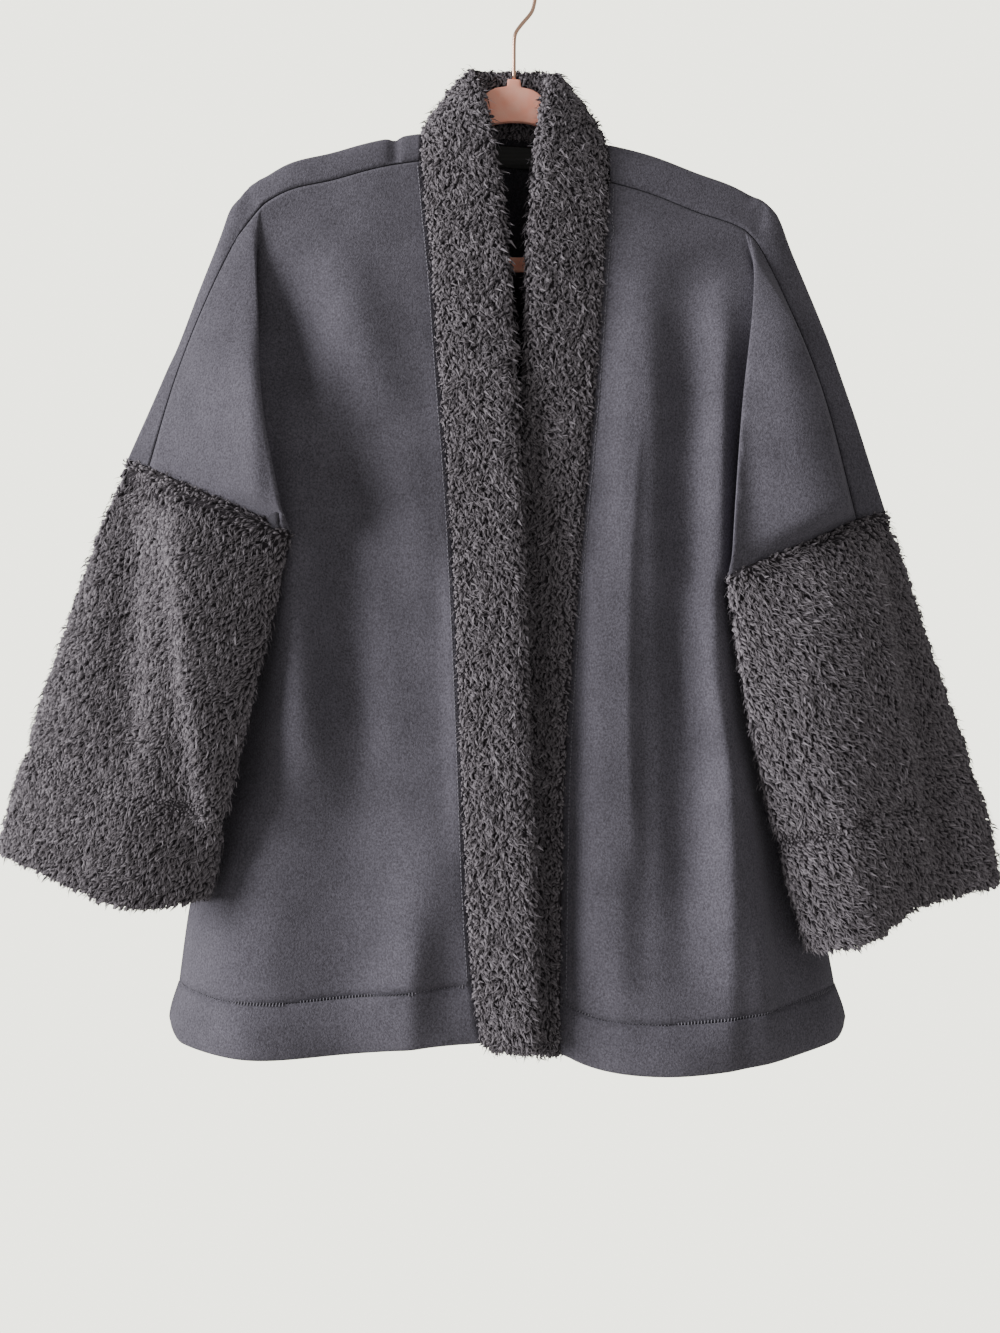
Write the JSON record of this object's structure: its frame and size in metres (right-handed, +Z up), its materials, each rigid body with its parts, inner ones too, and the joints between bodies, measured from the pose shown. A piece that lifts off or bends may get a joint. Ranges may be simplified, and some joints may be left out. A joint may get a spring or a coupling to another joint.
{
  "type": "sherpa fleece jacket on a hanger",
  "caption": "Open-front fleece jacket with wide sherpa sleeves, a sherpa front band with stand collar and a turned hem, hanging on a flat velvet hanger with a wire hook.",
  "frame": {"origin": "inside top of the hook's bend, where the hook rests on a rail", "axes": "+X towards the viewer's right, which is the wearer's left; +Y away from the viewer, from the jacket's front to its back; +Z up"},
  "size_m": [0.8039, 0.1307, 0.8888],
  "materials": {
    "fleece": "grey anti-pill fleece, short matted nap",
    "sherpa": "grey sherpa, long combed pile in small locks",
    "label": "bare black woven tape",
    "velvet": "pink velvet flock on moulded plastic",
    "hook_metal": "rose gold plated wire, polished"
  },
  "bodies": {
    "root": {"front_right": "fleece", "front_left": "fleece", "back": "fleece", "sleeve_right": "sherpa", "sleeve_left": "sherpa", "hem_front_right": "fleece", "hem_front_left": "fleece", "hem_back": "fleece", "band_right": "sherpa", "band_left": "sherpa", "neck_label": "label", "hanger": "velvet", "hanger_hook": "hook_metal"}
  },
  "joints": []
}
